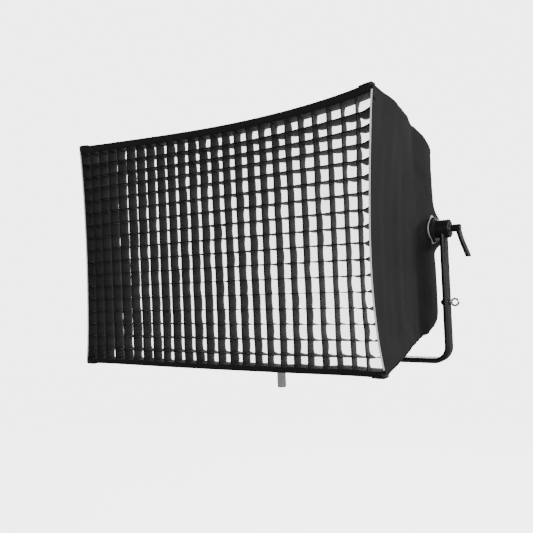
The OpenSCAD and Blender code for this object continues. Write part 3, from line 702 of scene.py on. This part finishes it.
def make_strips(name, node, upright):
    """A ribbon for each strip of one direction, as one piece."""
    family = Strips(upright)
    per_cell, depth_steps = 6, 5
    verts, faces, uvs = [], [], []
    for k in range(1, family.count):
        base = (k - family.count / 2) * family.pitch
        bulges = [max(-1.4, min(1.4, rng.gauss(0, 1))) for _ in range(family.crossings)]
        first = len(verts)
        n = family.crossings * per_cell + 1
        for i in range(n):
            along = -family.half_along + family.step * i / per_cell
            cell = min(family.crossings - 1, i // per_cell)
            phase = math.sin(math.pi * (i / per_cell - cell))
            for j in range(depth_steps + 1):
                d = j / depth_steps
                verts.append(family.point(base, along, d, bulges[cell], phase))
                uvs.append((along, d * STRIP_DEPTH + k * 0.05))
        for i in range(n - 1):
            for j in range(depth_steps):
                a = first + i * (depth_steps + 1) + j
                faces.append((a, a + depth_steps + 1, a + depth_steps + 2, a + 1))
    mesh = bpy.data.meshes.new(name)
    mesh.from_pydata([tuple(v) for v in verts], [], faces)
    layer = mesh.uv_layers.new(name="UVMap")
    layer.data.foreach_set("uv", [c for loop in mesh.loops for c in uvs[loop.vertex_index]])
    strips = finish_piece(mesh, name, "grid", "grid_cloth")
    thicken(strips, 1.4 * MM, 0.0)
    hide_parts(node)


def make_grid():
    make_grid_rim()
    make_strips("grid_upright_strips", "grid_uprights", True)
    make_strips("grid_level_strips", "grid_levels", False)


def make_diffuser():
    """The white front cloth, drawn tight to the hem behind the grid, a little slack in the middle."""
    steps_x, steps_z = 72, 50
    half_x, half_z = FRONT_X - 7 * MM, FRONT_H - 10 * MM
    rise = 1.5 * MM
    rows = []
    for i in range(steps_z + 1):
        z = -half_z + 2 * half_z * i / steps_z
        row = []
        for j in range(steps_x + 1):
            x = -half_x + 2 * half_x * j / steps_x
            p = warped(x, DIFFUSER_Y, z + rise)
            u, w = x / half_x, z / half_z
            slack = ((1 - u ** 4) * (1 - w ** 4)) ** 1.5
            p.y += (5 * slack + 1.4 * wobble(x * 4, z * 4, 6.0) * slack + 0.8) * MM
            row.append(p)
        rows.append(row)
    cloth = piece("diffuser_cloth", rows, "head", "white_cloth")
    thicken(cloth, 0.5 * MM, 1.0)
    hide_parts("front_diffuser")
    band_rows = []
    for inset in (8.0, 10.0, 16.0, 22.0, 23.5):
        loop = rounded_loop(FRONT_X - inset * MM, FRONT_H - (inset + 3.5) * MM, 8 * MM, 100, 68, 4)
        band_rows.append([warped(x, DIFFUSER_Y + 5.5 * MM, z + rise) for x, z, _, _ in loop])
    band = piece("hem_band", band_rows, "head", "black_cloth", closed=True)
    thicken(band, 1.0 * MM, 1.0)
    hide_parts("front_hem")


# ---- Rear skirt ----

SLIT_HALF_H = 41 * MM
SLIT_HALF_W = 24 * MM
SLIT_Y = 4 * MM
SLIT_STATION = 3


def skirt_stations():
    """Depth, half width, half height and corner radius at each station along the skirt."""
    ring, back = RING_Y, SKIRT_BACK_Y
    return (
        (ring - 5 * MM, REAR_X + 1.0 * MM, REAR_H + 1.2 * MM, 10 * MM),
        (ring + 4 * MM, REAR_X + 1.6 * MM, REAR_H + 0.4 * MM, 12 * MM),
        (ring + 18 * MM, REAR_X + 7 * MM, REAR_H + 0.5 * MM, 20 * MM),
        (SLIT_Y, REAR_X + 15 * MM, REAR_H - 2.5 * MM, 30 * MM),
        (16 * MM, REAR_X + 20 * MM, REAR_H - 5 * MM, 38 * MM),
        (36 * MM, REAR_X + 23 * MM, REAR_H - 9 * MM, 46 * MM),
        (58 * MM, REAR_X + 22 * MM, REAR_H - 15 * MM, 52 * MM),
        (76 * MM, REAR_X + 16 * MM, REAR_H - 20 * MM, 52 * MM),
        (back - 5 * MM, REAR_X + 4 * MM, REAR_H - 29 * MM, 48 * MM),
        (back - 1 * MM, REAR_X - 12 * MM, REAR_H - 43 * MM, 42 * MM),
        (back + 1 * MM, REAR_X - 30 * MM, REAR_H - 58 * MM, 38 * MM),
        (back, OPEN_X - 1 * MM, OPEN_H - 1 * MM, 34 * MM),
    )


def spline(stations, per_span):
    """Catmull-Rom through the stations, keeping each one. Returns the points and each station's index."""
    out, marks = [], []
    n = len(stations)
    for i in range(n - 1):
        p0, p1, p2, p3 = (stations[min(n - 1, max(0, k))] for k in range(i - 1, i + 3))
        marks.append(len(out))
        for s in range(per_span):
            t = s / per_span
            out.append(tuple(0.5 * (2 * b + (c - a) * t + (2 * a - 5 * b + 4 * c - d) * t * t
                                    + (3 * b - a - 3 * c + d) * t ** 3)
                             for a, b, c, d in zip(p0, p1, p2, p3)))
    marks.append(len(out))
    out.append(stations[-1])
    return out, marks


def slit_half_width(z):
    w = (z - TILT_Z) / SLIT_HALF_H
    return SLIT_HALF_W * max(0.0, 1 - w * w)


def skirt_point(x, z, nx, nz, y, v, around):
    """Adds the folds, the pinch at the ring and the gathers at the elastic."""
    p = Vector((x, y, LAMP_Z + z))
    out = Vector((nx, 0, nz))
    gather = smooth((v - 0.6) / 0.35)
    waves = math.sin(around * 150 + 5 * wobble(around * 9, 0.3)) + 0.6 * math.sin(around * 263 + 2)
    crease = math.sin(around * 96 + 6 * wobble(around * 6, 7.7)) * math.exp(-(((v - 0.16) / 0.12) ** 2))
    middle = smooth(v / 0.25) * smooth((1 - v) / 0.15)
    folds = wobble(around * 9, v * 2.2, 2.0) * 4.5 + wobble(around * 26, v * 4.5, 5.0) * 2.2
    corner = 1 - abs(abs(nx) - abs(nz))
    puckers = corner * math.sin(around * 130 + 4 * v) * smooth(v / 0.3)
    off = waves * 2.1 * gather + crease * 0.7 + folds * middle * 0.6 + puckers * 2.6
    p += out * (off * MM)
    p.y += 1.6 * MM * waves * gather * smooth((v - 0.8) * 6)
    return p


def make_skirt():
    stations, marks = spline(skirt_stations(), 6)
    cut = marks[SLIT_STATION]
    loops = []
    for i, (y, half_w, half_h, r) in enumerate(stations):
        v = i / (len(stations) - 1)
        row, around = [], 0.0
        loop = rounded_loop(half_w, half_h, r, 130, 90, 14)
        for j, (x, z, nx, nz) in enumerate(loop):
            if j:
                around += math.hypot(x - loop[j - 1][0], z - loop[j - 1][1])
            row.append(skirt_point(x, z, nx, nz, y, v, around))
        loops.append(row)
    front, back = loops[:cut + 1], [[p.copy() for p in loops[cut]]] + loops[cut + 1:]
    part_slits(front, -1)
    part_slits(back, 1)
    edges = slit_edges(front[-1], back[0])
    skirt = join_cut("skirt_cloth", front, back)
    thicken(skirt, 1.0 * MM, -1.0, 1)
    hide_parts("rear_skirt")
    for name, line in edges.items():
        tube = tube_rows(line, 2.1 * MM, 8, True)
        piece(f"slit_binding_{name}", tube, "head", "white_piping", closed=True)
    elastic = [p + Vector((0, -0.5 * MM, 0)) for p in back[-1]]
    band = piece("elastic_hem", tube_rows(elastic, 3.6 * MM, 10, True), "head", "elastic_band", closed=True)
    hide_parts("skirt_elastic")


def part_slits(rows, way):
    """Draws the rows on one side of the cut back from each slit, then lifts them over the shaft's flange."""
    for row in rows:
        for p in row:
            if abs(p.x) < 0.9 * REAR_X:
                continue
            drawn = slit_half_width(p.z) * math.exp(-(((p.y - SLIT_Y) / 0.03) ** 2))
            p.y += way * drawn
            p.x += math.copysign(1, p.x) * way * drawn * (0.15 if way < 0 else 0.3)
            p.x += math.copysign(hub_bulge(p), p.x)


def slit_edges(front_row, back_row):
    """Each slit's edge as a closed line, up the front row and down the back row."""
    edges = {}
    for name, sx in (("right", 1), ("left", -1)):
        inside = [j for j, p in enumerate(front_row)
                  if p.x * sx > 0.8 * REAR_X and slit_half_width(p.z) > 0]
        inside.sort(key=lambda j: front_row[j].z)
        edges[name] = [front_row[j].copy() for j in inside] + [back_row[j].copy() for j in reversed(inside)]
    return edges


def join_cut(name, front, back):
    """One mesh from the parts before and behind the cut line, sewn together outside the slits."""
    rows = front + back
    n = len(rows[0])
    seam = len(front) - 1
    verts, index = [], {}
    for i, row in enumerate(rows):
        for j, p in enumerate(row):
            if i == seam + 1 and (p - front[seam][j]).length < 0.05 * MM:
                index[i, j] = index[seam, j]
            else:
                index[i, j] = len(verts)
                verts.append(p)
    faces, uvs = [], []
    across, down = [0.0], [0.0]
    middle = rows[len(rows) // 3]
    for j in range(n):
        across.append(across[-1] + (middle[(j + 1) % n] - middle[j]).length)
    for i in range(len(rows) - 1):
        down.append(down[-1] + (rows[i + 1][0] - rows[i][0]).length)
    for i in range(len(rows) - 1):
        if i == seam:
            continue
        for j in range(n):
            k = (j + 1) % n
            faces.append((index[i, j], index[i + 1, j], index[i + 1, k], index[i, k]))
            for a, b in ((i, j), (i + 1, j), (i + 1, j + 1), (i, j + 1)):
                uvs.extend((across[b], down[a]))
    mesh = bpy.data.meshes.new(name)
    mesh.from_pydata([tuple(v) for v in verts], [], faces)
    layer = mesh.uv_layers.new(name="UVMap")
    layer.data.foreach_set("uv", uvs)
    lined = [MATERIALS["black_cloth"], MATERIALS["silver_lining"]]
    return finish_piece(mesh, name, "head", "black_cloth", lined)


# ---- CAD nodes ----

BEVELS = {"casing": 1.2, "front_bezel": 1.0, "rear_cover": 1.0, "control_panel": 0.6, "mount_ring": 0.8,
          "driver_box": 0.8, "spigot": 0.5, "power_inlet": 0.4}


def dress_cad_nodes():
    """Each CAD node takes its slot's material, and the boxy ones a fine bevel."""
    slots = {s["node"]: s["material_slot"] for s in frame["record"]["subparts"]}
    for name, obj in frame["nodes"].items():
        obj.data.materials.clear()
        obj.data.materials.append(MATERIALS[slots[name]])
        obj.data.polygons.foreach_set("use_smooth", [False] * len(obj.data.polygons))
        weld = obj.modifiers.new("weld", "WELD")
        weld.merge_threshold = 0.01 * MM
        if name in BEVELS:
            bevel = obj.modifiers.new("edges", "BEVEL")
            bevel.width = BEVELS[name] * MM
            bevel.segments = 2
            bevel.limit_method = "ANGLE"
            bevel.angle_limit = math.radians(50)


# ---- Stage ----

FLOOR_Z = -1.25


def make_stage():
    """A pale, evenly lit floor that runs up into a pale wall all round, a white world and the lights."""
    world = bpy.data.worlds.new("studio")
    bpy.context.scene.world = world
    world.use_nodes = True
    background = world.node_tree.nodes["Background"]
    background.inputs["Color"].default_value = (1, 1, 1, 1)
    background.inputs["Strength"].default_value = 0.32
    mat = Shader("floor", (0.9, 0.9, 0.9), 0.7)
    mat.bsdf.inputs["Emission Color"].default_value = (1, 1, 1, 1)
    mat.bsdf.inputs["Emission Strength"].default_value = 4.2
    cove = [math.radians(a) for a in range(15, 91, 15)]
    radii = [0.01, 3.0, 6.0, *(6.0 + 2.5 * math.sin(a) for a in cove), 8.5]
    heights = [FLOOR_Z] * 3 + [FLOOR_Z + 2.5 * (1 - math.cos(a)) for a in cove] + [9.0]
    sides = 96
    verts = [(r * math.cos(2 * math.pi * k / sides), r * math.sin(2 * math.pi * k / sides), z)
             for r, z in zip(radii, heights) for k in range(sides)]
    faces = []
    for start in range(0, (len(radii) - 1) * sides, sides):
        for k in range(sides):
            ahead = (k + 1) % sides
            faces.append((start + k, start + ahead, start + sides + ahead, start + sides + k))
    mesh = bpy.data.meshes.new("floor")
    mesh.from_pydata(verts, [], faces)
    mesh.materials.append(mat.mat)
    floor = bpy.data.objects.new("floor", mesh)
    bpy.context.scene.collection.objects.link(floor)
    floor.visible_diffuse = False
    floor.visible_glossy = False
    make_lights()


def make_lights():
    """Large soft lights, each with its place, aim, size and power."""
    soft_light("key", (3.6, -1.2, 1.5), (0.4, 0, 0.4), 1.4, 26)
    soft_light("fill", (-2.6, -3.0, 1.2), (0, 0, 0.4), 2.0, 12)
    soft_light("side", (2.3, -3.0, 0.9), (0.5, 0, 0.4), 1.0, 34)
    soft_light("rim", (3.3, 1.2, 1.1), (0.5, 0, 0.35), 0.9, 40)
    soft_light("back", (-0.85, 3.2, 1.8), (0, 0, 0.4), 1.4, 75)


def soft_light(name, place, aim, size, power):
    data = bpy.data.lights.new(name, "AREA")
    data.energy = power
    data.size = size
    light = bpy.data.objects.new(name, data)
    light.location = place
    light.rotation_euler = (Vector(aim) - Vector(place)).to_track_quat("-Z", "Y").to_euler()
    bpy.context.scene.collection.objects.link(light)


MATERIALS = make_materials()
make_camera()
make_stage()
dress_cad_nodes()
make_softbox()
make_grid()
make_diffuser()
make_skirt()
